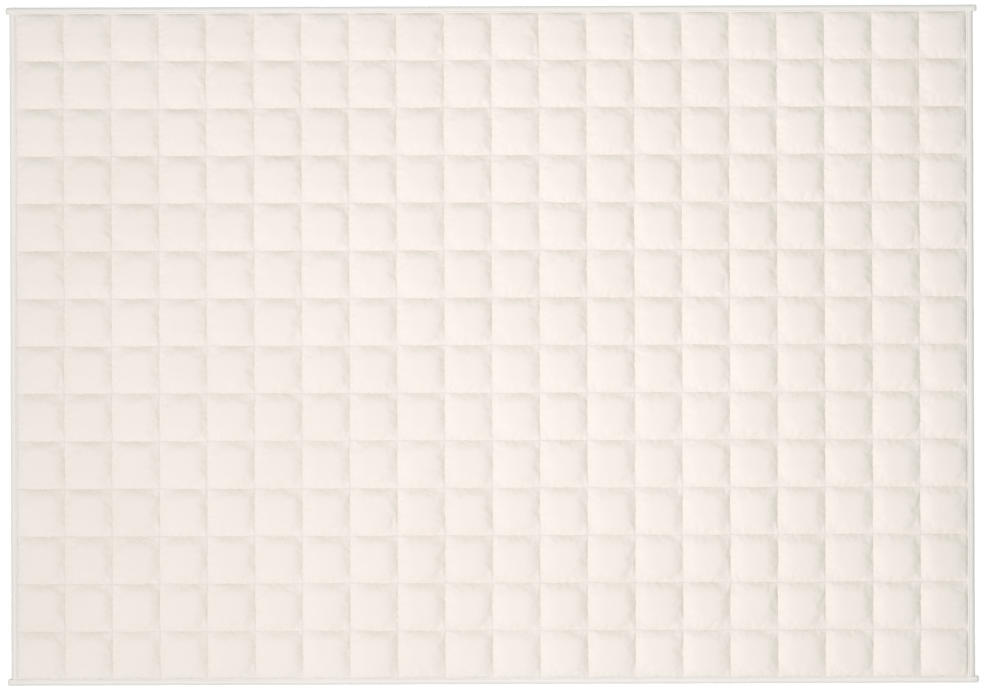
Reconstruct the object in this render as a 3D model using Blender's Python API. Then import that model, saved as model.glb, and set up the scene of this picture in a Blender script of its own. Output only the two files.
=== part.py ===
"""Weighted blanket lying flat on a surface.

A quilted body of square filled pockets, sewn through along crossing seams, with its four
edges held in folded binding tape. The two long tapes run past the side tapes and end in
small rounded nubs at the corners. Metres, +Z up, +X along the length, +Y across the width.
The origin is on the resting surface, under the middle of the blanket.
"""
import math

import bmesh
import bpy

# Driving sizes
COLUMNS = 20
ROWS = 14
POCKET_PITCH = 0.0987
TAPE_WIDE = 0.0126
SEAM_TO_TAPE = 0.0004
NUB_LONG = 0.0075

# Heights above the resting surface
CROWN_HIGH = 0.0195
SHOULDER_SHARE = 0.72
INNER_SEAM_LOW = 0.0045
INNER_SEAM_HIGH = 0.0065
EDGE_LOW = 0.0015
EDGE_HIGH = 0.0035

# Insets from a pocket's seams
SHOULDER_INSET = 0.015
CROWN_INSET = 0.033
FOOT_INSET = 0.017

# How unevenly the filling lies
FULLNESS_SWING = 0.07
CROWN_DRIFT = 0.004

# Folded tape
TAPE_HIGH = 0.005
TAPE_WALL = 0.0012
TAPE_FOLD = 0.002
TAPE_ROUND = 0.0022
TAPE_ROUND_STEPS = 3
PIECE_GAP = 0.0003
CUTTER_SPARE = 0.01

FIELD_LONG = COLUMNS * POCKET_PITCH
FIELD_WIDE = ROWS * POCKET_PITCH
EDGE_BAND = SEAM_TO_TAPE + TAPE_WIDE
BODY_HALF_LONG = FIELD_LONG / 2 + EDGE_BAND
BODY_HALF_WIDE = FIELD_WIDE / 2 + EDGE_BAND
TONGUE = EDGE_BAND - TAPE_FOLD - PIECE_GAP

# Base colour, roughness and metallic value of each cloth
CLOTHS = {
    "cover_cotton": ((0.87, 0.82, 0.76, 1.0), 0.85, 0.0),
    "binding_tape": ((0.84, 0.83, 0.79, 1.0), 0.80, 0.0),
}


def clear_scene():
    """Remove the objects that are already in the file."""
    for old in list(bpy.data.objects):
        bpy.data.objects.remove(old, do_unlink=True)


def cloth_material(name):
    """A plain Principled material for one of the two cloths."""
    colour, roughness, metallic = CLOTHS[name]
    material = bpy.data.materials.new(name)
    material.use_nodes = True
    shader = material.node_tree.nodes["Principled BSDF"]
    shader.inputs["Base Color"].default_value = colour
    shader.inputs["Roughness"].default_value = roughness
    shader.inputs["Metallic"].default_value = metallic
    material.diffuse_color = colour
    return material


def add_object(name, shape, material):
    """Put a finished bmesh into the scene as one object."""
    bmesh.ops.recalc_face_normals(shape, faces=shape.faces)
    mesh = bpy.data.meshes.new(name)
    shape.to_mesh(mesh)
    shape.free()
    piece = bpy.data.objects.new(name, mesh)
    bpy.context.scene.collection.objects.link(piece)
    piece.data.materials.append(material)
    return piece


def swing(column, row, phase):
    """An even-looking irregular number from -1 to 1 for one pocket."""
    return math.sin(2.3 * column + 1.7 * row + phase) * math.cos(3.1 * row - 1.3 * column + phase)


def seam_place(column, row):
    """Where two seams cross, in plan."""
    x = column * POCKET_PITCH - FIELD_LONG / 2
    y = row * POCKET_PITCH - FIELD_WIDE / 2
    return x, y


def on_edge(column, row):
    """Whether a seam crossing lies on the blanket's edge seam."""
    return column in (0, COLUMNS) or row in (0, ROWS)


def seam_crossings(shape, inner_height, edge_height):
    """One vertex at every seam crossing of a panel."""
    crossings = {}
    for column in range(COLUMNS + 1):
        for row in range(ROWS + 1):
            x, y = seam_place(column, row)
            height = edge_height if on_edge(column, row) else inner_height
            crossings[column, row] = shape.verts.new((x, y, height))
    return crossings


def pocket_corners(crossings, column, row):
    """The four seam crossings round one pocket, anticlockwise seen from above."""
    steps = ((0, 0), (1, 0), (1, 1), (0, 1))
    return [crossings[column + across, row + up] for across, up in steps]


def square_ring(shape, column, row, inset, height, drift=(0.0, 0.0)):
    """Four vertices of a square set in from one pocket's seams."""
    x, y = seam_place(column, row)
    low_x = x + inset + drift[0]
    low_y = y + inset + drift[1]
    side = POCKET_PITCH - 2 * inset
    plan = ((low_x, low_y), (low_x + side, low_y), (low_x + side, low_y + side), (low_x, low_y + side))
    return [shape.verts.new((at_x, at_y, height)) for at_x, at_y in plan]


def join_rings(shape, outer, inner):
    """Faces between two rings of the same number of vertices."""
    count = len(outer)
    for index in range(count):
        following = (index + 1) % count
        shape.faces.new((outer[index], outer[following], inner[following], inner[index]))


def crowned_pocket(shape, crossings, column, row):
    """The top of one pocket: steep sides to a shoulder, then a gentle crown."""
    fullness = 1 + FULLNESS_SWING * swing(column, row, 0.0)
    rise = (CROWN_HIGH - INNER_SEAM_HIGH) * fullness
    drift = (CROWN_DRIFT * swing(column, row, 1.0), CROWN_DRIFT * swing(column, row, 2.0))
    shoulder_height = INNER_SEAM_HIGH + rise * SHOULDER_SHARE
    shoulder = square_ring(shape, column, row, SHOULDER_INSET, shoulder_height)
    crown = square_ring(shape, column, row, CROWN_INSET, INNER_SEAM_HIGH + rise, drift)
    join_rings(shape, pocket_corners(crossings, column, row), shoulder)
    join_rings(shape, shoulder, crown)
    shape.faces.new(crown)


def footed_pocket(shape, crossings, column, row):
    """The underside of one pocket, pressed flat on the surface between raised seams."""
    foot = square_ring(shape, column, row, FOOT_INSET, 0.0)
    join_rings(shape, pocket_corners(crossings, column, row), foot)
    shape.faces.new(foot)


def edge_loop(crossings):
    """The crossings on the edge seam, in order round the blanket."""
    front = [(column, 0) for column in range(COLUMNS)]
    right = [(COLUMNS, row) for row in range(ROWS)]
    back = [(column, ROWS) for column in range(COLUMNS, 0, -1)]
    left = [(0, row) for row in range(ROWS, 0, -1)]
    return [crossings[place] for place in front + right + back + left]


def tongue_loop(shape, loop, height):
    """The edge loop again, moved out by the seam allowance that the tape holds."""
    moved = []
    for vertex in loop:
        x, y, _ = vertex.co
        if abs(x) > FIELD_LONG / 2 - PIECE_GAP:
            x += math.copysign(TONGUE, x)
        if abs(y) > FIELD_WIDE / 2 - PIECE_GAP:
            y += math.copysign(TONGUE, y)
        moved.append(shape.verts.new((x, y, height)))
    return moved


def quilted_body(material):
    """Front and back panels with the filling between them, as one closed solid."""
    shape = bmesh.new()
    front = seam_crossings(shape, INNER_SEAM_HIGH, EDGE_HIGH)
    back = seam_crossings(shape, INNER_SEAM_LOW, EDGE_LOW)
    for column in range(COLUMNS):
        for row in range(ROWS):
            crowned_pocket(shape, front, column, row)
            footed_pocket(shape, back, column, row)
    front_edge = edge_loop(front)
    back_edge = edge_loop(back)
    front_tongue = tongue_loop(shape, front_edge, EDGE_HIGH)
    back_tongue = tongue_loop(shape, back_edge, EDGE_LOW)
    join_rings(shape, front_tongue, front_edge)
    join_rings(shape, back_edge, back_tongue)
    join_rings(shape, back_tongue, front_tongue)
    return add_object("quilted_body", shape, material)


def box_shape(low, high):
    """A bmesh box between two corners."""
    shape = bmesh.new()
    bmesh.ops.create_cube(shape, size=1.0)
    for vertex in shape.verts:
        for axis in range(3):
            middle = (low[axis] + high[axis]) / 2
            vertex.co[axis] = middle + vertex.co[axis] * (high[axis] - low[axis])
    return shape


def round_edges(shape, chosen):
    """Bevel the chosen edges of a tape to its fold's radius."""
    bmesh.ops.bevel(shape, geom=chosen, offset=TAPE_ROUND, segments=TAPE_ROUND_STEPS,
                    profile=0.5, affect="EDGES")


def cut_slot(piece, low, high):
    """Cut the slot that takes the quilted body's edge."""
    cutter = add_object(piece.name + "_slot_cutter", box_shape(low, high), piece.data.materials[0])
    cutter.hide_render = True
    cutter.display_type = "WIRE"
    slot = piece.modifiers.new("Slot", "BOOLEAN")
    slot.operation = "DIFFERENCE"
    slot.solver = "EXACT"
    slot.object = cutter


def long_binding(name, side, material):
    """One tape along a long edge; side is 1 at the back and -1 at the front."""
    half_long = BODY_HALF_LONG + NUB_LONG
    outer = side * BODY_HALF_WIDE
    inner = side * (BODY_HALF_WIDE - TAPE_WIDE)
    low = (-half_long, min(outer, inner), 0.0)
    high = (half_long, max(outer, inner), TAPE_HIGH)
    shape = box_shape(low, high)
    chosen = []
    for edge in shape.edges:
        start, end = (vertex.co for vertex in edge.verts)
        along = abs(start.x - end.x) > TAPE_WIDE
        upright = abs(start.z - end.z) > PIECE_GAP
        at_fold = abs(start.y - outer) < PIECE_GAP and abs(end.y - outer) < PIECE_GAP
        if upright or (along and at_fold):
            chosen.append(edge)
    round_edges(shape, chosen)
    tape = add_object(name, shape, material)
    slot_half_long = BODY_HALF_LONG - TAPE_FOLD
    fold_face = side * (BODY_HALF_WIDE - TAPE_FOLD)
    open_face = inner - side * CUTTER_SPARE
    cut_slot(tape,
             (-slot_half_long, min(fold_face, open_face), TAPE_WALL),
             (slot_half_long, max(fold_face, open_face), TAPE_HIGH - TAPE_WALL))
    return tape


def side_binding(name, side, material):
    """One tape along a short edge; side is 1 on the right and -1 on the left."""
    half_wide = BODY_HALF_WIDE - TAPE_WIDE - PIECE_GAP
    outer = side * BODY_HALF_LONG
    inner = side * (BODY_HALF_LONG - TAPE_WIDE)
    low = (min(outer, inner), -half_wide, 0.0)
    high = (max(outer, inner), half_wide, TAPE_HIGH)
    shape = box_shape(low, high)
    chosen = []
    for edge in shape.edges:
        start, end = (vertex.co for vertex in edge.verts)
        along = abs(start.y - end.y) > TAPE_WIDE
        at_fold = abs(start.x - outer) < PIECE_GAP and abs(end.x - outer) < PIECE_GAP
        if along and at_fold:
            chosen.append(edge)
    round_edges(shape, chosen)
    tape = add_object(name, shape, material)
    fold_face = side * (BODY_HALF_LONG - TAPE_FOLD)
    open_face = inner - side * CUTTER_SPARE
    cut_slot(tape,
             (min(fold_face, open_face), -half_wide - CUTTER_SPARE, TAPE_WALL),
             (max(fold_face, open_face), half_wide + CUTTER_SPARE, TAPE_HIGH - TAPE_WALL))
    return tape


def build_blanket():
    """All five sewn pieces."""
    clear_scene()
    cover = cloth_material("cover_cotton")
    tape = cloth_material("binding_tape")
    quilted_body(cover)
    long_binding("long_binding_back", 1, tape)
    long_binding("long_binding_front", -1, tape)
    side_binding("side_binding_right", 1, tape)
    side_binding("side_binding_left", -1, tape)


build_blanket()
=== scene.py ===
"""Weighted blanket laid out flat: quilted cotton pockets, quilting thread and folded tape.

The quilted cover is sewn up in four lengths of pockets, each one closed over its filling,
with the pockets puffed out by cloth simulation. Metres, +Z up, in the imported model's frame.
"""
import math

import bmesh
import bpy
import numpy as np
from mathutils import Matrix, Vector


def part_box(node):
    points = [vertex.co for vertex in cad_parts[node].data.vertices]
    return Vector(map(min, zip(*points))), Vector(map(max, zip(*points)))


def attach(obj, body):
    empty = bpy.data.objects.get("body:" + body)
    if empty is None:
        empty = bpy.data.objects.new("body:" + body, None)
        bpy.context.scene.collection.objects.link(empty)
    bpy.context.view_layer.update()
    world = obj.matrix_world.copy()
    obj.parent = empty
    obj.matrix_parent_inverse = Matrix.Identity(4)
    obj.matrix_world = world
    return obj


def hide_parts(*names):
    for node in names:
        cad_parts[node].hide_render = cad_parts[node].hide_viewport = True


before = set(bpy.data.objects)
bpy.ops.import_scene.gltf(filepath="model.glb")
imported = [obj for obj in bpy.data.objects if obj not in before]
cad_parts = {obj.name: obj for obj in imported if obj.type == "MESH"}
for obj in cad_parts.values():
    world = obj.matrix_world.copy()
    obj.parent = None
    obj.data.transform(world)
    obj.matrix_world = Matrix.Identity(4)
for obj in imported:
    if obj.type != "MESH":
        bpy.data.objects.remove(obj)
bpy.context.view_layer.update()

# ---- Sizes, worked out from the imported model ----

COLUMNS = 20
ROWS = 14
SEAM_TO_TAPE = 0.0004
TAPE_LOW, TAPE_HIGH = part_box("side_binding_right")
LONG_TAPE_LOW, LONG_TAPE_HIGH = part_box("long_binding_back")
HALF_LONG = TAPE_LOW.x - SEAM_TO_TAPE
HALF_WIDE = LONG_TAPE_LOW.y - SEAM_TO_TAPE
EDGE_X = TAPE_HIGH.x
EDGE_Y = LONG_TAPE_HIGH.y
PITCH = 2 * HALF_LONG / COLUMNS
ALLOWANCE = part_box("quilted_body")[1].x - HALF_LONG
TAPE_WIDE = TAPE_HIGH.x - TAPE_LOW.x
TAPE_THICK = TAPE_HIGH.z

# Heights of the sewn-through seams above the resting surface
SEAM_FRONT = 0.0065
SEAM_BACK = 0.0045
EDGE_FRONT = 0.0039
EDGE_BACK = 0.0015
# How far the front drops and the back rises over the seam allowance, inside the binding
FRONT_EDGE_DROP = 0.0007
BACK_EDGE_RISE = 0.0002

# Mesh steps in one pocket and over the seam allowance, front and back
FRONT_STEPS = 30
BACK_STEPS = FRONT_STEPS // 2
FRONT_ALLOWANCE_STEPS = 2
BACK_ALLOWANCE_STEPS = 1
LENGTHS = 4

# Seams that wander, are nudged by each stitch, and run straighter beside the binding
SEAM_WANDER = 0.0007
WANDER_SPACING = 0.055
SEAM_JITTER = 0.0006
JITTER_SPACING = 0.008
STEADY_REACH = 0.6 * PITCH
STEADY_SHARE = 0.25
RIPPLE_HEIGHT = 0.0005
RIPPLE_SPACING = 0.011
RIPPLE_REACH = 0.005
NOISE_TABLE = 256

# Cloth bunched up beside the binding
BUNCH_HEIGHT = 0.0014
BUNCH_REACH = 0.0038
BUNCH_FADE = 0.012

# Trial pockets
TRIAL_ACROSS = 8
TRIAL_UP = 5
TRIAL_FRAMES = 30
TRIAL_SEED = 5
TRIAL_CROWN = 0.0108
TRIAL_ROUNDNESS = 0.95
SQUARENESS_ACROSS = 2.2
SQUARENESS_UP = 2.6
CREST_LEAN = (-0.45, -0.05)
EVEN_EASE = (0.03, 0.20)
EASE_LEVELS = 20
# Ease gathered in along each side of a pocket: its reach, and its least and most strength
GATHERS = {
    "right": (0.019, 0.7, 1.25),
    "top": (0.013, 0.1, 0.5),
    "left": (0.009, 0.15, 0.5),
    "bottom": (0.009, 0.1, 0.4),
}

# How a puffed pocket is flattened on its crown
CROWN_CAP = 0.0084
CAP_SOFTNESS = 0.0012
CAPPED_SHARE = 0.85
LOOSE_SHARE = 0.32

# How full the pockets are sewn
FULLNESS_EACH = (0.93, 1.05)
LEAN_EACH = 0.12
BACK_FULLNESS = 0.75
FRONT_SEED = 31
BACK_SEED = 32
FLOOR_SOFTNESS = 0.0004

# Thread
STITCH_PITCH = 0.0042
STITCH_RADIUS = 0.00033
STITCH_LIFT = 0.0001
TAPE_STITCH_PITCH = 0.0036
TAPE_STITCH_RADIUS = 0.0003

# Folded tape: its cut width, the sewn groove's place behind the lip, and its mesh step
GROOVE_IN = 0.0024
TAPE_STEP = 0.004
SIDE_TUCK = 0.004
NOSE_RADIUS = 0.0022
SLOT_POINTS = 5


# ---- Unevenness that every piece shares ----

def drifting(x, y, spacing, seed):
    """Smooth noise from -1 to 1 over the blanket, with one lump for each spacing."""
    table = np.random.default_rng(seed).uniform(-1.0, 1.0, (NOISE_TABLE, NOISE_TABLE))
    across = x / spacing
    up = y / spacing
    column = np.floor(across).astype(int)
    row = np.floor(up).astype(int)
    ease_x = across - column
    ease_y = up - row
    ease_x = ease_x * ease_x * (3 - 2 * ease_x)
    ease_y = ease_y * ease_y * (3 - 2 * ease_y)
    left = column % NOISE_TABLE
    right = (column + 1) % NOISE_TABLE
    low = row % NOISE_TABLE
    high = (row + 1) % NOISE_TABLE
    bottom = table[left, low] * (1 - ease_x) + table[right, low] * ease_x
    top = table[left, high] * (1 - ease_x) + table[right, high] * ease_x
    return bottom * (1 - ease_y) + top * ease_y


def eased(share):
    """A share from 0 to 1, eased in and out."""
    share = np.clip(share, 0.0, 1.0)
    return share * share * (3 - 2 * share)


def hand_sewn(x, y):
    """Where a point really lies, once the seams have wandered from their chalk lines."""
    inset = np.minimum(HALF_LONG - np.abs(x), HALF_WIDE - np.abs(y))
    free = STEADY_SHARE + (1 - STEADY_SHARE) * eased(inset / STEADY_REACH)
    moved = []
    for wander_seed, jitter_seed in ((11, 12), (13, 14)):
        wander = SEAM_WANDER * drifting(x, y, WANDER_SPACING, wander_seed)
        jitter = SEAM_JITTER * drifting(x, y, JITTER_SPACING, jitter_seed)
        moved.append(free * (wander + jitter))
    return x + moved[0], y + moved[1]


def seam_height(x, y, edge, inner):
    """Height of the seams: low at the blanket's edge, raised between filled pockets."""
    in_x = eased((HALF_LONG - np.abs(x)) / PITCH)
    in_y = eased((HALF_WIDE - np.abs(y)) / PITCH)
    return edge + (inner - edge) * in_x * in_y


def to_line(place, half):
    """Distance from the nearest of the chalk lines that cross one direction."""
    pockets = (place + half) / PITCH
    return np.abs(pockets - np.round(pockets)) * PITCH


def seam_ripple(x, y):
    """Puckers that run over a seam and lift or press it a little."""
    nearest = np.minimum(to_line(x, HALF_LONG), to_line(y, HALF_WIDE))
    ripple = drifting(x, y, RIPPLE_SPACING, 15)
    return RIPPLE_HEIGHT * ripple * np.exp(-(nearest / RIPPLE_REACH) ** 2)


def bunching(x, y):
    """Cloth crowded up beside the binding, between the quilting seams."""
    inset_x = np.maximum(HALF_LONG - np.abs(x), 0.0)
    inset_y = np.maximum(HALF_WIDE - np.abs(y), 0.0)
    height = np.zeros_like(x)
    for inset, to_seam in ((inset_x, to_line(y, HALF_WIDE)), (inset_y, to_line(x, HALF_LONG))):
        near = inset / BUNCH_REACH
        height += near * np.exp(1 - near) * eased(to_seam / BUNCH_FADE)
    return np.where((inset_x > 0) & (inset_y > 0), BUNCH_HEIGHT * height, 0.0)


# ---- Meshes ----

def new_mesh(name, points, faces, finish, smooth=True):
    """A mesh object from points and faces, in one finish."""
    mesh = bpy.data.meshes.new(name)
    mesh.from_pydata(points, [], faces)
    mesh.validate()
    piece = bpy.data.objects.new(name, mesh)
    bpy.context.scene.collection.objects.link(piece)
    if finish is not None:
        mesh.materials.append(finish)
    if smooth:
        mesh.shade_smooth()
    return piece


def face_outwards(piece):
    """Turn every face of a closed piece outwards."""
    shape = bmesh.new()
    shape.from_mesh(piece.data)
    bmesh.ops.recalc_face_normals(shape, faces=shape.faces)
    shape.to_mesh(piece.data)
    shape.free()


def quads_over(index):
    """Quads over a grid of vertex numbers, facing up."""
    corners = (index[:-1, :-1], index[1:, :-1], index[1:, 1:], index[:-1, 1:])
    return np.stack(corners, -1).reshape(-1, 4)


# ---- Pockets, puffed out in cloth ----

def leaning(share, lean):
    """Share across a pocket, bent so that its crest leans to one side."""
    return share + lean * share * (1 - share)


def trial_panel(rng):
    """A panel of trial pockets, as flat grids, with its seams marked."""
    across = np.arange(TRIAL_ACROSS * FRONT_STEPS + 1)
    up = np.arange(TRIAL_UP * FRONT_STEPS + 1)
    pocket_x = np.minimum(across // FRONT_STEPS, TRIAL_ACROSS - 1)
    pocket_y = np.minimum(up // FRONT_STEPS, TRIAL_UP - 1)
    share_x = ((across % FRONT_STEPS) / FRONT_STEPS)[:, None]
    share_y = ((up % FRONT_STEPS) / FRONT_STEPS)[None, :]
    x, y = np.meshgrid(across * PITCH / FRONT_STEPS, up * PITCH / FRONT_STEPS, indexing="ij")
    on_seam = (share_x == 0) | (share_y == 0)

    def by_pocket(low, high):
        return rng.uniform(low, high, (TRIAL_ACROSS, TRIAL_UP))[pocket_x][:, pocket_y]

    bent_x = leaning(share_x, by_pocket(*CREST_LEAN))
    bent_y = leaning(share_y, by_pocket(*CREST_LEAN))
    puff_x = 1 - np.abs(2 * bent_x - 1) ** SQUARENESS_ACROSS
    puff_y = 1 - np.abs(2 * bent_y - 1) ** SQUARENESS_UP
    puff = np.maximum(puff_x * puff_y, 0.0) ** TRIAL_ROUNDNESS
    inset = {"right": (1 - share_x) * PITCH, "top": (1 - share_y) * PITCH,
             "left": share_x * PITCH, "bottom": share_y * PITCH}
    gather = {}
    for side, (reach, least, most) in GATHERS.items():
        gather[side] = np.exp(-(inset[side] / reach) ** 2) * by_pocket(least, most)
    fine_crumple = 0.0002 * drifting(x, y, 0.006, 21)
    side_puckers = 0.0007 * gather["right"] * drifting(x, y, 0.011, 23)
    z = TRIAL_CROWN * puff + np.where(on_seam, 0.0, fine_crumple + side_puckers)
    upper = np.maximum(gather["right"], gather["top"])
    lower = np.maximum(gather["left"], gather["bottom"])
    gathered = np.maximum(upper, lower) + 0.5 * gather["right"] * gather["top"]
    gathered = gathered * (0.5 + 0.5 * drifting(x, y, 0.016, 22))
    ease = np.clip(by_pocket(*EVEN_EASE) + gathered, 0.0, 1.0)
    return x, y, z, on_seam, ease


def set_cloth(panel, held, fuller):
    """Cotton cloth held along its seams, blown up from below, with no weight of its own."""
    cloth = panel.modifiers.new("Cloth", "CLOTH")
    cloth.collision_settings.use_collision = False
    cloth.collision_settings.use_self_collision = False
    cloth.point_cache.frame_start = 1
    cloth.point_cache.frame_end = TRIAL_FRAMES
    settings = cloth.settings
    settings.quality = 5
    settings.mass = 0.2
    settings.air_damping = 2
    settings.tension_stiffness = 60
    settings.compression_stiffness = 60
    settings.shear_stiffness = 15
    settings.bending_stiffness = 0.03
    settings.vertex_group_mass = held.name
    settings.vertex_group_shrink = fuller.name
    settings.shrink_min = -0.008
    settings.shrink_max = -0.125
    settings.use_pressure = True
    settings.uniform_pressure_force = 3
    settings.effector_weights.gravity = 0


def puff_out(x, y, z, on_seam, ease):
    """Blow the panel up from below while the seams hold it down, and read back its shape."""
    index = np.arange(x.size).reshape(x.shape)
    points = np.stack((x, y, z), -1).reshape(-1, 3)
    panel = new_mesh("trial_panel", points.tolist(), quads_over(index).tolist(), None)
    held = panel.vertex_groups.new(name="held")
    held.add(index[on_seam].tolist(), 1.0, "REPLACE")
    fuller = panel.vertex_groups.new(name="fuller")
    levels = np.round(ease * EASE_LEVELS).astype(int)
    for level in range(1, EASE_LEVELS + 1):
        chosen = index[levels == level].tolist()
        if chosen:
            fuller.add(chosen, level / EASE_LEVELS, "REPLACE")
    set_cloth(panel, held, fuller)
    scene = bpy.context.scene
    scene.frame_start = 1
    scene.frame_end = TRIAL_FRAMES
    for now in range(1, TRIAL_FRAMES + 1):
        scene.frame_set(now)
    puffed = panel.evaluated_get(bpy.context.evaluated_depsgraph_get())
    moved = np.empty(x.size * 3, np.float32)
    puffed.data.vertices.foreach_get("co", moved)
    mesh = panel.data
    bpy.data.objects.remove(panel, do_unlink=True)
    bpy.data.meshes.remove(mesh)
    scene.frame_set(1)
    return moved.reshape(*x.shape, 3).astype(float)


def flat_crowned(height):
    """Heights levelled off softly at the crown, so that the pocket's sides stay bevelled."""
    capped = -CAP_SOFTNESS * np.log(np.exp(-height / CAP_SOFTNESS) + math.exp(-CROWN_CAP / CAP_SOFTNESS))
    capped += CAP_SOFTNESS * math.log(1 + math.exp(-CROWN_CAP / CAP_SOFTNESS))
    return CAPPED_SHARE * capped + LOOSE_SHARE * height


def sewn_pockets():
    """Every trial pocket as its own grid of sideways moves and heights."""
    x, y, z, on_seam, ease = trial_panel(np.random.default_rng(TRIAL_SEED))
    shape = puff_out(x, y, z, on_seam, ease)
    shape = shape - np.stack((x, y, np.zeros_like(x)), -1)
    shape[on_seam] = 0.0
    shape[..., 2] = flat_crowned(shape[..., 2])
    pockets = []
    for column in range(TRIAL_ACROSS):
        for row in range(TRIAL_UP):
            across = slice(column * FRONT_STEPS, (column + 1) * FRONT_STEPS + 1)
            up = slice(row * FRONT_STEPS, (row + 1) * FRONT_STEPS + 1)
            pockets.append(shape[across, up].copy())
    return pockets


def quilted_panel(pockets, steps, fullness, seed):
    """Moves and heights of a whole panel, each pocket drawn from the trial ones."""
    rng = np.random.default_rng(seed)
    panel = np.zeros((COLUMNS * steps + 1, ROWS * steps + 1, 3))
    share = np.linspace(-0.5, 0.5, steps + 1)
    skip = FRONT_STEPS // steps
    rounds = COLUMNS * ROWS // len(pockets) + 1
    drawn = np.concatenate([rng.permutation(len(pockets)) for _ in range(rounds)])
    for column in range(COLUMNS):
        for row in range(ROWS):
            pocket = pockets[drawn[column * ROWS + row]][::skip, ::skip].copy()
            lean_x = rng.uniform(-LEAN_EACH, LEAN_EACH) * share[:, None]
            lean_y = rng.uniform(-LEAN_EACH, LEAN_EACH) * share[None, :]
            pocket[..., 2] *= fullness * rng.uniform(*FULLNESS_EACH) * (1 + lean_x + lean_y)
            across = slice(column * steps, (column + 1) * steps + 1)
            up = slice(row * steps, (row + 1) * steps + 1)
            panel[across, up] = pocket
    return panel


# ---- Quilted cover ----

def chalk_lines(half, count, steps, allowance_steps):
    """Mesh lines along one direction, with the seam allowance at both ends."""
    field = np.linspace(-half, half, count * steps + 1)
    allowance = np.arange(1, allowance_steps + 1) * ALLOWANCE / allowance_steps
    return np.concatenate((-half - allowance[::-1], field, half + allowance))


def front_heights(x, y, puffs):
    """Height of the front panel, puffed up above its seams."""
    base = seam_height(x, y, EDGE_FRONT, SEAM_FRONT)
    return base + puffs + seam_ripple(x, y) + bunching(x, y)


def back_heights(x, y, puffs):
    """Height of the back panel, which hangs below its seams and lies flat where it rests."""
    base = seam_height(x, y, EDGE_BACK, SEAM_BACK)
    lies = base - puffs + seam_ripple(x, y)
    return FLOOR_SOFTNESS * np.log1p(np.exp(lies / FLOOR_SOFTNESS))


def panel_points(pockets, steps, allowance_steps, fullness, seed, side):
    """All points of the front (side 1) or back (side -1) panel, then their chalk places."""
    lines_x = chalk_lines(HALF_LONG, COLUMNS, steps, allowance_steps)
    lines_y = chalk_lines(HALF_WIDE, ROWS, steps, allowance_steps)
    x, y = np.meshgrid(lines_x, lines_y, indexing="ij")
    moves = np.zeros(x.shape + (3,))
    inside = slice(allowance_steps, -allowance_steps)
    moves[inside, inside] = quilted_panel(pockets, steps, fullness, seed)
    beyond = np.maximum(np.abs(x) - HALF_LONG, np.abs(y) - HALF_WIDE) / ALLOWANCE
    beyond = np.clip(beyond, 0.0, 1.0)
    if side > 0:
        z = front_heights(x, y, moves[..., 2]) - FRONT_EDGE_DROP * beyond
    else:
        z = back_heights(x, y, moves[..., 2]) + BACK_EDGE_RISE * beyond
    plan_x, plan_y = hand_sewn(x, y)
    points = np.stack((plan_x + moves[..., 0], plan_y + moves[..., 1], z), -1)
    chalk = np.stack((x, y, np.full_like(x, side)), -1)
    return np.concatenate((points, chalk), -1)


def rim_of(index):
    """The vertex numbers round a grid, anticlockwise from its low corner."""
    return np.concatenate((index[:-1, 0], index[-1, :-1], index[:0:-1, -1], index[0, :0:-1]))


def side_walls(top_index, bottom_index):
    """Faces that close the front's rim over the back's, which has half as many points."""
    top_rim = rim_of(top_index)
    bottom_rim = rim_of(bottom_index)
    walls = []
    for step in range(len(bottom_rim)):
        following = (step + 1) % len(bottom_rim)
        last = (2 * step + 2) % len(top_rim)
        wall = (bottom_rim[step], bottom_rim[following],
                top_rim[last], top_rim[2 * step + 1], top_rim[2 * step])
        walls.append([int(corner) for corner in wall])
    return walls


def seam_flags(grid, steps, allowance_steps):
    """Which points of a panel lie on a quilting seam."""
    number_x = np.arange(grid.shape[0]) - allowance_steps
    number_y = np.arange(grid.shape[1]) - allowance_steps
    return (number_x % steps == 0)[:, None] | (number_y % steps == 0)[None, :]


def sharpen_seams(mesh, on_seam):
    """Crease the mesh along its sewn seams."""
    ends = np.empty(len(mesh.edges) * 2, np.int32)
    mesh.edges.foreach_get("vertices", ends)
    creased = on_seam[ends.reshape(-1, 2)].all(axis=1)
    attribute = mesh.attributes.get("sharp_edge")
    if attribute is None:
        attribute = mesh.attributes.new("sharp_edge", "BOOLEAN", "EDGE")
    attribute.data.foreach_set("value", creased)


def quilted_length(number, front, back, finish):
    """One length of pockets, closed over its filling, from the blanket's long edge to edge."""
    per_length = COLUMNS // LENGTHS
    parts = []
    flags = []
    panels = ((front, FRONT_STEPS, FRONT_ALLOWANCE_STEPS), (back, BACK_STEPS, BACK_ALLOWANCE_STEPS))
    for grid, steps, allowance_steps in panels:
        start = allowance_steps + number * per_length * steps
        stop = start + per_length * steps + 1
        if number == 0:
            start = 0
        if number == LENGTHS - 1:
            stop = grid.shape[0]
        parts.append(grid[start:stop])
        flags.append(seam_flags(grid, steps, allowance_steps)[start:stop].reshape(-1))
    top, bottom = parts
    top_index = np.arange(top.shape[0] * top.shape[1]).reshape(top.shape[:2])
    bottom_index = np.arange(bottom.shape[0] * bottom.shape[1]).reshape(bottom.shape[:2]) + top_index.size
    faces = quads_over(top_index).tolist() + quads_over(bottom_index)[:, ::-1].tolist()
    faces += side_walls(top_index, bottom_index)
    points = np.concatenate((top.reshape(-1, 6), bottom.reshape(-1, 6)))
    piece = new_mesh(f"quilted_length_{number + 1}", points[:, :3].tolist(), faces, finish)
    chalk = piece.data.attributes.new("chalk", "FLOAT_VECTOR", "POINT")
    chalk.data.foreach_set("vector", points[:, 3:].astype(np.float32).reshape(-1))
    sharpen_seams(piece.data, np.concatenate(flags))
    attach(piece, "root")
    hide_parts("quilted_body")


# ---- Thread ----

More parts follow.
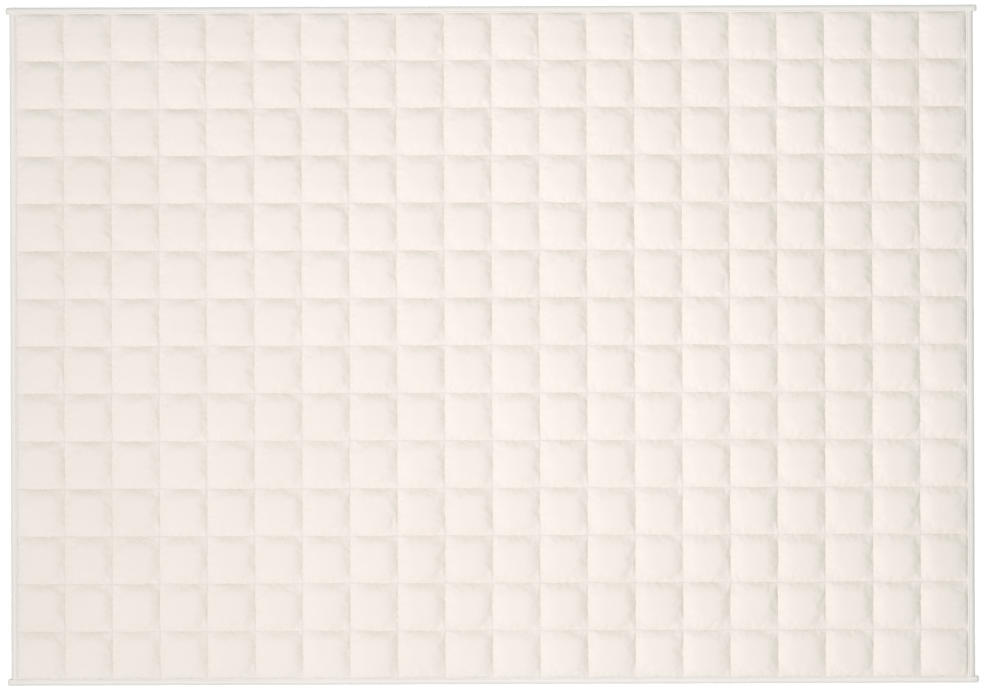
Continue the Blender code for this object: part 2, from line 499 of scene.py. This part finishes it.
def on_the_seam(x, y):
    """Height at which quilting thread lies in a seam."""
    return seam_height(x, y, EDGE_FRONT, SEAM_FRONT) + seam_ripple(x, y) + STITCH_LIFT


def on_the_tape(x, y):
    """Height at which the binding's thread lies in its groove."""
    return np.full_like(x, TAPE_THICK + STITCH_LIFT)


def stitch_row(start, end, pitch, height_at, radius):
    """Stitches laid end to end along one straight seam, as points and faces.

    Each stitch is a pointed end sunk in the cloth, two rings of four points, and an end.
    """
    start = np.array(start, float)
    end = np.array(end, float)
    span = np.linalg.norm(end - start)
    along = (end - start) / span
    sideways = np.array((-along[1], along[0]))
    count = int(span // pitch)
    middles = (np.arange(count) + 0.5) * span / count
    half = span / count * 0.40
    shoulder = half * 0.62
    stations = []
    for offset, rise in ((-half, -0.9), (-shoulder, 0.25), (shoulder, 0.25), (half, -0.9)):
        plan = start + (middles + offset)[:, None] * along
        x, y = hand_sewn(plan[:, 0], plan[:, 1])
        z = height_at(plan[:, 0], plan[:, 1]) + rise * radius
        stations.append(np.stack((x, y, z), -1))
    rings = [stations[0][:, None, :]]
    for station in stations[1:3]:
        ring = []
        for quarter in range(4):
            turn = math.pi * (quarter / 2 + 0.25)
            spoke = np.array((*(sideways * math.cos(turn)), math.sin(turn) * 0.8)) * radius
            ring.append(station + spoke)
        rings.append(np.stack(ring, 1))
    rings.append(stations[3][:, None, :])
    faces = []
    for quarter in range(4):
        following = (quarter + 1) % 4
        faces.append((0, 1 + quarter, 1 + following))
        faces.append((1 + quarter, 5 + quarter, 5 + following, 1 + following))
        faces.append((9, 5 + following, 5 + quarter))
    return np.concatenate(rings, 1), faces


def thread_piece(name, rows, pitch, height_at, radius, finish):
    """All the stitches of several seams as one joined mesh."""
    points = []
    faces = []
    for start, end in rows:
        made, pattern = stitch_row(start, end, pitch, height_at, radius)
        for stitch in made:
            first = len(points)
            points.extend(stitch.tolist())
            faces.extend([tuple(first + corner for corner in face) for face in pattern])
    piece = new_mesh(name, points, faces, finish)
    face_outwards(piece)
    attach(piece, "root")


def edge_rows(inset):
    """The four rows of stitches that hold the binding, set in from the tape's fold."""
    x = EDGE_X - inset
    y = EDGE_Y - inset
    return [((-x, -y), (x, -y)), ((-x, y), (x, y)), ((-x, -y), (-x, y)), ((x, -y), (x, y))]


def sew(finish):
    """The quilting seams across and along, and the seam round the binding."""
    columns = [-HALF_LONG + column * PITCH for column in range(1, COLUMNS)]
    rows = [-HALF_WIDE + row * PITCH for row in range(1, ROWS)]
    across = [((x, -HALF_WIDE), (x, HALF_WIDE)) for x in columns]
    along = [((-HALF_LONG, y), (HALF_LONG, y)) for y in rows]
    thread_piece("quilting_stitches_across", across,
                 STITCH_PITCH, on_the_seam, STITCH_RADIUS, finish)
    thread_piece("quilting_stitches_along", along,
                 STITCH_PITCH, on_the_seam, STITCH_RADIUS, finish)
    thread_piece("binding_stitches", edge_rows(TAPE_WIDE - GROOVE_IN),
                 TAPE_STITCH_PITCH, on_the_tape, TAPE_STITCH_RADIUS, finish)


# ---- Folded tape ----

def tape_section():
    """Outline of the folded tape, as inward distance from the fold, and height.

    It runs over the top from the lip to the fold, back along the underside to the lower
    lip, and then round the open slot that takes the cover's seam allowance.
    """
    wide = TAPE_WIDE
    middle = wide * 0.5
    groove = wide - GROOVE_IN
    ridge = TAPE_THICK + 0.0003
    hip = TAPE_THICK - 0.0008
    round_in = 0.0030
    turns = 6
    lip = [(wide + 0.0005, 0.0037), (wide + 0.0003, ridge - 0.0005), (wide - 0.0008, ridge)]
    sewn = [(groove + 0.0007, ridge - 0.0001), (groove, ridge - 0.0006), (groove - 0.0007, ridge - 0.0002)]
    back = [(middle, (ridge + hip) / 2 + 0.0001)]
    fold = []
    for step in range(turns + 1):
        turn = math.pi / 2 * step / turns
        fold.append((round_in * (1 - math.sin(turn)), hip / 2 * (1 + math.cos(turn))))
    under = [(0.0006, 0.0007), (0.0016, 0.0001), (middle, 0.0), (groove - 0.0007, 0.0001)]
    under += [(groove, 0.0005), (wide - 0.0010, 0.0001)]
    lower_lip = [(wide + 0.0006, 0.0003), (wide + 0.0013, 0.0012)]
    slot = [(middle, 0.0011), (0.0026, 0.0013), (0.0020, hip / 2), (0.0026, hip - 0.0011)]
    slot += [(middle, (ridge + hip) / 2 - 0.0010)]
    return np.array(lip + sewn + back + fold + under + lower_lip + slot)


def tape_runs(half_run, nosed):
    """Places along a tape, closer together over its rounded ends where it has them."""
    runs = np.linspace(-half_run, half_run, int(2 * half_run / TAPE_STEP) + 1)
    if nosed:
        rounding = np.array((0.0, 0.0005, 0.0012, NOSE_RADIUS))
        runs = np.concatenate((-half_run + rounding, runs[1:-1], half_run - rounding[::-1]))
        runs = np.unique(np.round(runs, 6))
    return runs


def rounded_nose(ring, to_end):
    """Round the end of a long tape, and close its slot."""
    cut = NOSE_RADIUS - math.sqrt(max(NOSE_RADIUS ** 2 - (NOSE_RADIUS - to_end) ** 2, 0.0))
    ring[:, 0] = cut + ring[:, 0] * (TAPE_WIDE - 2 * cut) / TAPE_WIDE
    ring[:, 1] = NOSE_RADIUS + (ring[:, 1] - NOSE_RADIUS) * (1 - 0.45 * cut / NOSE_RADIUS)
    lower_lip, lip = ring[-SLOT_POINTS - 1], ring[0]
    share = np.arange(1, SLOT_POINTS + 1)[:, None] / (SLOT_POINTS + 1)
    closed = lower_lip + (lip - lower_lip) * share
    ring[-SLOT_POINTS:] += math.sqrt(1 - to_end / NOSE_RADIUS) * (closed - ring[-SLOT_POINTS:])


def tape_ring(section, run, half_run, is_long, seed):
    """The tape's outline at one place along it, rippled by its stitches."""
    ring = section.copy()
    ripple = drifting(np.array(run), np.array(0.3), 0.009, seed)
    sway = drifting(np.array(run), np.array(0.7), 0.05, seed + 3)
    upper = ring[:, 1] > TAPE_THICK * 0.55
    inner_share = np.clip(ring[:, 0] / TAPE_WIDE, 0, 1)
    ring[:, 1] += upper * inner_share * (0.00022 * ripple + 0.00025 * sway)
    ring[:, 0] += inner_share * (0.00015 * ripple + 0.0002 * sway)
    to_end = half_run - abs(run)
    if is_long:
        if to_end < NOSE_RADIUS:
            rounded_nose(ring, to_end)
        over_side_tape = eased(1 - abs(to_end - 0.0140) / 0.0085)
        ring[:, 1] += upper * 0.0009 * float(over_side_tape)
    else:
        tucked = float(eased((0.0065 - to_end) / 0.0045))
        middle = 0.0031
        ring[:, 1] = middle + (ring[:, 1] - middle) * (1 - 0.32 * tucked)
    return ring


def folded_tape(name, axis, side, finish):
    """One binding tape along X (long edges) or Y (side edges), on the + or - side."""
    low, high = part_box(name)
    is_long = axis == 0
    half_run = high.x if is_long else high.y + SIDE_TUCK
    outer = (high if side > 0 else low)[1 - axis]
    section = tape_section()
    points = []
    folded = []
    for run in tape_runs(half_run, is_long):
        ring = tape_ring(section, run, half_run, is_long, 100 + 10 * axis + side)
        from_fold = np.minimum(section[:, 0], half_run - abs(run)) if is_long else section[:, 0]
        folded.append(1 - eased((from_fold - 0.0020) / 0.0026))
        across = outer - side * ring[:, 0]
        line = np.full(len(ring), run)
        x, y = hand_sewn(line, across) if is_long else hand_sewn(across, line)
        points.append(np.stack((x, y, np.maximum(ring[:, 1], 0.0)), -1))
    grid = np.array(points)
    index = np.arange(grid.shape[0] * grid.shape[1]).reshape(grid.shape[:2])
    wrapped = np.concatenate((index, index[:, :1]), 1)
    faces = quads_over(wrapped).tolist() + [index[0].tolist(), index[-1].tolist()]
    piece = new_mesh(name + "_tape", grid.reshape(-1, 3).tolist(), faces, finish)
    face_outwards(piece)
    piece.data.set_sharp_from_angle(angle=math.radians(60))
    # The "folded" mark says where the finish paints shade along the fold and at the tape's ends.
    crease = piece.data.attributes.new("folded", "FLOAT", "POINT")
    crease.data.foreach_set("value", np.array(folded).reshape(-1).astype(np.float32))
    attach(piece, "root")
    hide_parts(name)


# ---- Node groups that more than one finish uses ----

def new_group(name, inputs, outputs):
    """An empty shader node group with named sockets."""
    group = bpy.data.node_groups.new(name, "ShaderNodeTree")
    for label, kind, value in inputs:
        socket = group.interface.new_socket(label, in_out="INPUT", socket_type=kind)
        if value is not None:
            socket.default_value = value
    for label, kind in outputs:
        group.interface.new_socket(label, in_out="OUTPUT", socket_type=kind)
    start = group.nodes.new("NodeGroupInput")
    end = group.nodes.new("NodeGroupOutput")
    return group, start.outputs, end.inputs


def feed(tree, socket, value):
    """Give a socket a plain value, or link another socket to it."""
    if isinstance(value, (int, float, tuple)):
        socket.default_value = value
    else:
        tree.links.new(value, socket)


def math_node(tree, operation, first, second=None):
    """One Math node; its inputs are sockets or numbers."""
    node = tree.nodes.new("ShaderNodeMath")
    node.operation = operation
    feed(tree, node.inputs[0], first)
    if second is not None:
        feed(tree, node.inputs[1], second)
    return node.outputs[0]


def noise_node(tree, vector, scale, detail, roughness=0.5, distortion=0.0):
    """A Noise texture's value."""
    node = tree.nodes.new("ShaderNodeTexNoise")
    node.inputs["Detail"].default_value = detail
    node.inputs["Roughness"].default_value = roughness
    node.inputs["Distortion"].default_value = distortion
    tree.links.new(vector, node.inputs["Vector"])
    feed(tree, node.inputs["Scale"], scale)
    return node.outputs["Fac"]


def range_node(tree, value, low, high, to_low=0.0, to_high=1.0):
    """A smooth Map Range of a value."""
    node = tree.nodes.new("ShaderNodeMapRange")
    node.interpolation_type = "SMOOTHSTEP"
    tree.links.new(value, node.inputs["Value"])
    limits = (("From Min", low), ("From Max", high), ("To Min", to_low), ("To Max", to_high))
    for label, limit in limits:
        feed(tree, node.inputs[label], limit)
    return node.outputs["Result"]


def mixed_colour(tree, share, first, second):
    """A colour between two others."""
    node = tree.nodes.new("ShaderNodeMix")
    node.data_type = "RGBA"
    tree.links.new(share, node.inputs["Factor"])
    feed(tree, node.inputs[6], first)
    feed(tree, node.inputs[7], second)
    return node.outputs[2]


def pockets_away(tree, place, half, pocket):
    """Distance from the nearest chalk line across one direction, counted in pockets."""
    counted = math_node(tree, "DIVIDE", math_node(tree, "ADD", place, half), pocket)
    nearest = math_node(tree, "ROUND", counted)
    return math_node(tree, "ABSOLUTE", math_node(tree, "SUBTRACT", counted, nearest))


def plain_weave_group():
    """Warp and weft threads crossing one over one, with slubs."""
    group, given, out = new_group(
        "plain weave",
        [("Vector", "NodeSocketVector", None), ("Threads per Metre", "NodeSocketFloat", 2200.0)],
        [("Height", "NodeSocketFloat"), ("Thread Tone", "NodeSocketFloat")])
    parts = group.nodes.new("ShaderNodeSeparateXYZ")
    group.links.new(given["Vector"], parts.inputs[0])
    wobble = noise_node(group, given["Vector"], 90.0, 2.0)
    shift = math_node(group, "MULTIPLY", math_node(group, "SUBTRACT", wobble, 0.5), 0.0012)
    threads = []
    crossings = []
    for axis, direction in (("X", "ADD"), ("Y", "SUBTRACT")):
        shifted = math_node(group, direction, parts.outputs[axis], shift)
        phase = math_node(group, "MULTIPLY", shifted, given["Threads per Metre"])
        turn = math_node(group, "MULTIPLY", phase, math.pi)
        threads.append(math_node(group, "ABSOLUTE", math_node(group, "SINE", turn)))
        crossings.append(math_node(group, "COSINE", turn))
    over = math_node(group, "MULTIPLY", crossings[0], crossings[1])
    warp_over = range_node(group, over, -0.4, 0.4)
    weft_over = math_node(group, "SUBTRACT", 1.0, warp_over)
    warp = math_node(group, "MULTIPLY", threads[0], warp_over)
    weft = math_node(group, "MULTIPLY", threads[1], weft_over)
    group.links.new(math_node(group, "ADD", warp, weft), out["Height"])
    slubs = []
    for stretch in ((1.0, 40.0, 1.0), (40.0, 1.0, 1.0)):
        mapping = group.nodes.new("ShaderNodeMapping")
        mapping.inputs["Scale"].default_value = stretch
        group.links.new(given["Vector"], mapping.inputs["Vector"])
        slubs.append(noise_node(group, mapping.outputs[0], 30.0, 3.0))
    tone = math_node(group, "MULTIPLY", math_node(group, "ADD", slubs[0], slubs[1]), 0.5)
    group.links.new(tone, out["Thread Tone"])
    return group


def crumple_group():
    """Soft creases that cloth keeps from being folded and handled."""
    group, given, out = new_group(
        "crumple",
        [("Vector", "NodeSocketVector", None), ("Creases per Metre", "NodeSocketFloat", 40.0)],
        [("Height", "NodeSocketFloat")])
    soft = noise_node(group, given["Vector"], given["Creases per Metre"], 4.0, 0.55, 0.6)
    ridge = math_node(group, "ABSOLUTE", math_node(group, "SUBTRACT", soft, 0.5))
    crease = range_node(group, ridge, 0.0, 0.12)
    finer_scale = math_node(group, "MULTIPLY", given["Creases per Metre"], 3.1)
    finer = noise_node(group, given["Vector"], finer_scale, 3.0)
    height = math_node(group, "ADD", math_node(group, "MULTIPLY", crease, 0.55),
                       math_node(group, "MULTIPLY", finer, 0.45))
    group.links.new(height, out["Height"])
    return group


def tone_drift_group():
    """Cloth colour that drifts slowly over the surface and from thread to thread."""
    group, given, out = new_group(
        "tone drift",
        [("Vector", "NodeSocketVector", None), ("Thread Tone", "NodeSocketFloat", 0.5),
         ("Light Cloth", "NodeSocketColor", (0.8, 0.8, 0.8, 1.0)),
         ("Deep Cloth", "NodeSocketColor", (0.7, 0.7, 0.7, 1.0))],
        [("Color", "NodeSocketColor"), ("Roughness", "NodeSocketFloat")])
    patches = noise_node(group, given["Vector"], 3.2, 4.0, 0.6)
    blend = math_node(group, "ADD", math_node(group, "MULTIPLY", patches, 0.6),
                      math_node(group, "MULTIPLY", given["Thread Tone"], 0.4))
    share = range_node(group, blend, 0.35, 0.65)
    group.links.new(mixed_colour(group, share, given["Deep Cloth"], given["Light Cloth"]), out["Color"])
    group.links.new(range_node(group, blend, 0.3, 0.7, 0.92, 0.78), out["Roughness"])
    return group


def seam_nearness_group():
    """How near a point is to a quilting seam, from 0 away from it to 1 on it."""
    group, given, out = new_group(
        "seam nearness",
        [("Vector", "NodeSocketVector", None), ("Pocket", "NodeSocketFloat", PITCH),
         ("Reach", "NodeSocketFloat", 0.012)],
        [("Nearness", "NodeSocketFloat")])
    parts = group.nodes.new("ShaderNodeSeparateXYZ")
    group.links.new(given["Vector"], parts.inputs[0])
    distances = []
    for axis, half in (("X", HALF_LONG), ("Y", HALF_WIDE)):
        away = pockets_away(group, parts.outputs[axis], half, given["Pocket"])
        distances.append(math_node(group, "MULTIPLY", away, given["Pocket"]))
    nearest = math_node(group, "MINIMUM", distances[0], distances[1])
    group.links.new(range_node(group, nearest, 0.0, given["Reach"], 1.0, 0.0), out["Nearness"])
    return group


# ---- Finishes ----

def place_group(tree, group, values):
    """A group placed in a finish, with its own values."""
    node = tree.nodes.new("ShaderNodeGroup")
    node.node_tree = group
    for label, value in values.items():
        feed(tree, node.inputs[label], value)
    return node.outputs


def new_finish(name, colour):
    """A Principled finish, with its tree, its shader and the object's own coordinates."""
    finish = bpy.data.materials.new(name)
    finish.use_nodes = True
    finish.diffuse_color = colour
    tree = finish.node_tree
    shader = tree.nodes["Principled BSDF"]
    place = tree.nodes.new("ShaderNodeTexCoord").outputs["Object"]
    return finish, tree, shader, place


def mesh_mark(tree, name):
    """What the mesh keeps under one name."""
    node = tree.nodes.new("ShaderNodeAttribute")
    node.attribute_name = name
    return node.outputs


def bump(tree, height, distance, strength, normal=None):
    """A Bump node's normal."""
    node = tree.nodes.new("ShaderNodeBump")
    node.inputs["Distance"].default_value = distance
    node.inputs["Strength"].default_value = strength
    tree.links.new(height, node.inputs["Height"])
    if normal is not None:
        tree.links.new(normal, node.inputs["Normal"])
    return node.outputs["Normal"]


def back_stitches(tree, chalk):
    """Stitches on the underside, as a mask along the chalk lines, one dash for each."""
    parts = tree.nodes.new("ShaderNodeSeparateXYZ")
    tree.links.new(chalk, parts.inputs[0])
    rows = []
    for across, along, half in (("X", "Y", HALF_LONG), ("Y", "X", HALF_WIDE)):
        away = pockets_away(tree, parts.outputs[across], half, PITCH)
        on_line = range_node(tree, away, 0.0035, 0.0055, 1.0, 0.0)
        counted = math_node(tree, "DIVIDE", parts.outputs[along], STITCH_PITCH)
        place = math_node(tree, "FRACT", counted)
        from_middle = math_node(tree, "ABSOLUTE", math_node(tree, "SUBTRACT", place, 0.5))
        dash = range_node(tree, from_middle, 0.36, 0.42, 1.0, 0.0)
        rows.append(math_node(tree, "MULTIPLY", on_line, dash))
    either = math_node(tree, "MAXIMUM", rows[0], rows[1])
    below = math_node(tree, "LESS_THAN", parts.outputs["Z"], -0.5)
    return math_node(tree, "MULTIPLY", either, below)


def cover_cotton(groups):
    """Soft matt off-white cotton, creased towards its seams, with stitches underneath and painted shade
    along the seams.
    """
    finish, tree, shader, place = new_finish("cover_cotton", (0.83, 0.79, 0.74, 1.0))
    weave = place_group(tree, groups["weave"], {"Vector": place, "Threads per Metre": 2300.0})
    tone = place_group(tree, groups["tone"], {
        "Vector": place, "Thread Tone": weave["Thread Tone"],
        "Light Cloth": (0.845, 0.795, 0.735, 1.0), "Deep Cloth": (0.825, 0.772, 0.708, 1.0)})
    chalk = mesh_mark(tree, "chalk")["Vector"]
    near = place_group(tree, groups["seam"], {"Vector": chalk, "Pocket": PITCH, "Reach": 0.016})
    creases = place_group(tree, groups["crumple"], {"Vector": place, "Creases per Metre": 75.0})
    stronger = range_node(tree, near["Nearness"], 0.0, 1.0, 0.15, 1.0)
    lift = math_node(tree, "MULTIPLY", creases["Height"], stronger)
    creased = bump(tree, lift, 0.0007, 0.7)
    woven = bump(tree, weave["Height"], 0.00010, 0.35, creased)
    dashes = back_stitches(tree, chalk)
    stitched = bump(tree, dashes, 0.0004, 0.8, woven)
    # Painted shade: the cloth's colour is darkened within a few millimetres of every seam, in place of the
    # shadow in the seam grooves.
    close = place_group(tree, groups["seam"], {"Vector": chalk, "Pocket": PITCH, "Reach": 0.0035})
    painted_seam_shade = math_node(tree, "MULTIPLY", close["Nearness"], 0.14)
    shaded = mixed_colour(tree, painted_seam_shade, tone["Color"], (0.70, 0.655, 0.595, 1.0))
    threaded = mixed_colour(tree, dashes, shaded, (0.66, 0.61, 0.54, 1.0))
    tree.links.new(threaded, shader.inputs["Base Color"])
    tree.links.new(tone["Roughness"], shader.inputs["Roughness"])
    tree.links.new(stitched, shader.inputs["Normal"])
    shader.inputs["Specular IOR Level"].default_value = 0.25
    shader.inputs["Sheen Weight"].default_value = 0.08
    shader.inputs["Sheen Roughness"].default_value = 0.5
    return finish


def binding_cotton(groups):
    """The tape's denser, slightly cooler cotton, with painted shade along its fold."""
    finish, tree, shader, place = new_finish("binding_cotton", (0.83, 0.82, 0.79, 1.0))
    weave = place_group(tree, groups["weave"], {"Vector": place, "Threads per Metre": 1700.0})
    tone = place_group(tree, groups["tone"], {
        "Vector": place, "Thread Tone": weave["Thread Tone"],
        "Light Cloth": (0.855, 0.828, 0.786, 1.0), "Deep Cloth": (0.825, 0.797, 0.752, 1.0)})
    creases = place_group(tree, groups["crumple"], {"Vector": place, "Creases per Metre": 130.0})
    creased = bump(tree, creases["Height"], 0.0003, 0.6)
    woven = bump(tree, weave["Height"], 0.00014, 0.5, creased)
    # Painted shade: the colour is darkened along the tape's outer fold and round its ends, where the fold
    # turns down to the floor.
    painted_fold_shade = math_node(tree, "MULTIPLY", mesh_mark(tree, "folded")["Fac"], 0.6)
    shaded = mixed_colour(tree, painted_fold_shade, tone["Color"], (0.66, 0.645, 0.62, 1.0))
    tree.links.new(shaded, shader.inputs["Base Color"])
    tree.links.new(tone["Roughness"], shader.inputs["Roughness"])
    tree.links.new(woven, shader.inputs["Normal"])
    shader.inputs["Specular IOR Level"].default_value = 0.35
    shader.inputs["Sheen Weight"].default_value = 0.12
    shader.inputs["Sheen Roughness"].default_value = 0.4
    return finish


def quilting_thread(groups):
    """Twisted sewing thread, a little deeper in tone than the cloth."""
    finish, tree, shader, place = new_finish("quilting_thread", (0.86, 0.82, 0.77, 1.0))
    ply = tree.nodes.new("ShaderNodeTexWave")
    ply.bands_direction = "DIAGONAL"
    ply.inputs["Scale"].default_value = 900.0
    tree.links.new(place, ply.inputs["Vector"])
    tone = place_group(tree, groups["tone"], {
        "Vector": place, "Thread Tone": ply.outputs["Fac"],
        "Light Cloth": (0.80, 0.75, 0.69, 1.0), "Deep Cloth": (0.74, 0.69, 0.62, 1.0)})
    twisted = bump(tree, ply.outputs["Fac"], 0.00008, 0.6)
    tree.links.new(tone["Color"], shader.inputs["Base Color"])
    tree.links.new(tone["Roughness"], shader.inputs["Roughness"])
    tree.links.new(twisted, shader.inputs["Normal"])
    return finish


# ---- Room ----

def pale_floor():
    """A plain white surface just under the blanket."""
    half = 20.0
    z = -0.0003
    corners = [(-half, -half, z), (half, -half, z), (half, half, z), (-half, half, z)]
    floor = new_mesh("floor", corners, [(0, 1, 2, 3)], None, smooth=False)
    paint = bpy.data.materials.new("floor_paint")
    paint.use_nodes = True
    shader = paint.node_tree.nodes["Principled BSDF"]
    shader.inputs["Base Color"].default_value = (0.93, 0.93, 0.93, 1.0)
    shader.inputs["Emission Color"].default_value = (1.0, 1.0, 1.0, 1.0)
    shader.inputs["Emission Strength"].default_value = 0.14
    shader.inputs["Roughness"].default_value = 0.9
    shader.inputs["Specular IOR Level"].default_value = 0.1
    floor.data.materials.append(paint)


def place_lamp(name, lamp, location):
    """A lamp in the room, in the softboxes' one colour."""
    lamp.color = (0.985, 0.917, 1.0)
    holder = bpy.data.objects.new(name, lamp)
    holder.location = location
    bpy.context.scene.collection.objects.link(holder)
    return holder


def studio_light():
    """A long softbox overhead, a soft window low on the left, and an even pale room."""
    above = bpy.data.lights.new("overhead_softbox", "AREA")
    above.shape = "RECTANGLE"
    above.size = 0.8
    above.size_y = 3.0
    above.energy = 36
    place_lamp("overhead_softbox", above, (0.0, 0.0, 2.6))
    side = bpy.data.lights.new("side_window", "SUN")
    side.energy = 1.10
    side.angle = math.radians(14)
    window = place_lamp("side_window", side, (-1.6, -1.1, 2.0))
    towards_blanket = Vector((0.0, 0.0, 0.0)) - window.location
    window.rotation_euler = towards_blanket.to_track_quat("-Z", "Y").to_euler()
    room = bpy.data.worlds.new("white_room")
    room.use_nodes = True
    air = room.node_tree.nodes["Background"]
    air.inputs["Color"].default_value = (0.89, 0.97, 0.885, 1.0)
    air.inputs["Strength"].default_value = 0.485
    bpy.context.scene.world = room


def overhead_camera():
    """Looks straight down on the middle of the blanket, with a long lens."""
    shown_width = 2.0448
    lens = bpy.data.cameras.new("overhead")
    lens.lens = 135.0
    lens.sensor_width = 36.0
    lens.clip_end = 100.0
    camera = bpy.data.objects.new("overhead", lens)
    camera.location = (0.0, 0.0007, shown_width * lens.lens / lens.sensor_width)
    camera.rotation_euler = (0.0, 0.0, math.radians(-0.19))
    bpy.context.scene.collection.objects.link(camera)
    bpy.context.scene.camera = camera


# ---- The blanket ----

overhead_camera()
studio_light()
pale_floor()

GROUPS = {
    "weave": plain_weave_group(),
    "crumple": crumple_group(),
    "tone": tone_drift_group(),
    "seam": seam_nearness_group(),
}
COTTON = cover_cotton(GROUPS)
TAPE = binding_cotton(GROUPS)
THREAD = quilting_thread(GROUPS)

POCKETS = sewn_pockets()
FRONT = panel_points(POCKETS, FRONT_STEPS, FRONT_ALLOWANCE_STEPS, 1.0, FRONT_SEED, 1)
BACK = panel_points(POCKETS, BACK_STEPS, BACK_ALLOWANCE_STEPS, BACK_FULLNESS, BACK_SEED, -1)
for length_number in range(LENGTHS):
    quilted_length(length_number, FRONT, BACK, COTTON)
sew(THREAD)
folded_tape("long_binding_back", 0, 1, TAPE)
folded_tape("long_binding_front", 0, -1, TAPE)
folded_tape("side_binding_right", 1, 1, TAPE)
folded_tape("side_binding_left", 1, -1, TAPE)

bpy.context.scene.view_settings.view_transform = "Standard"
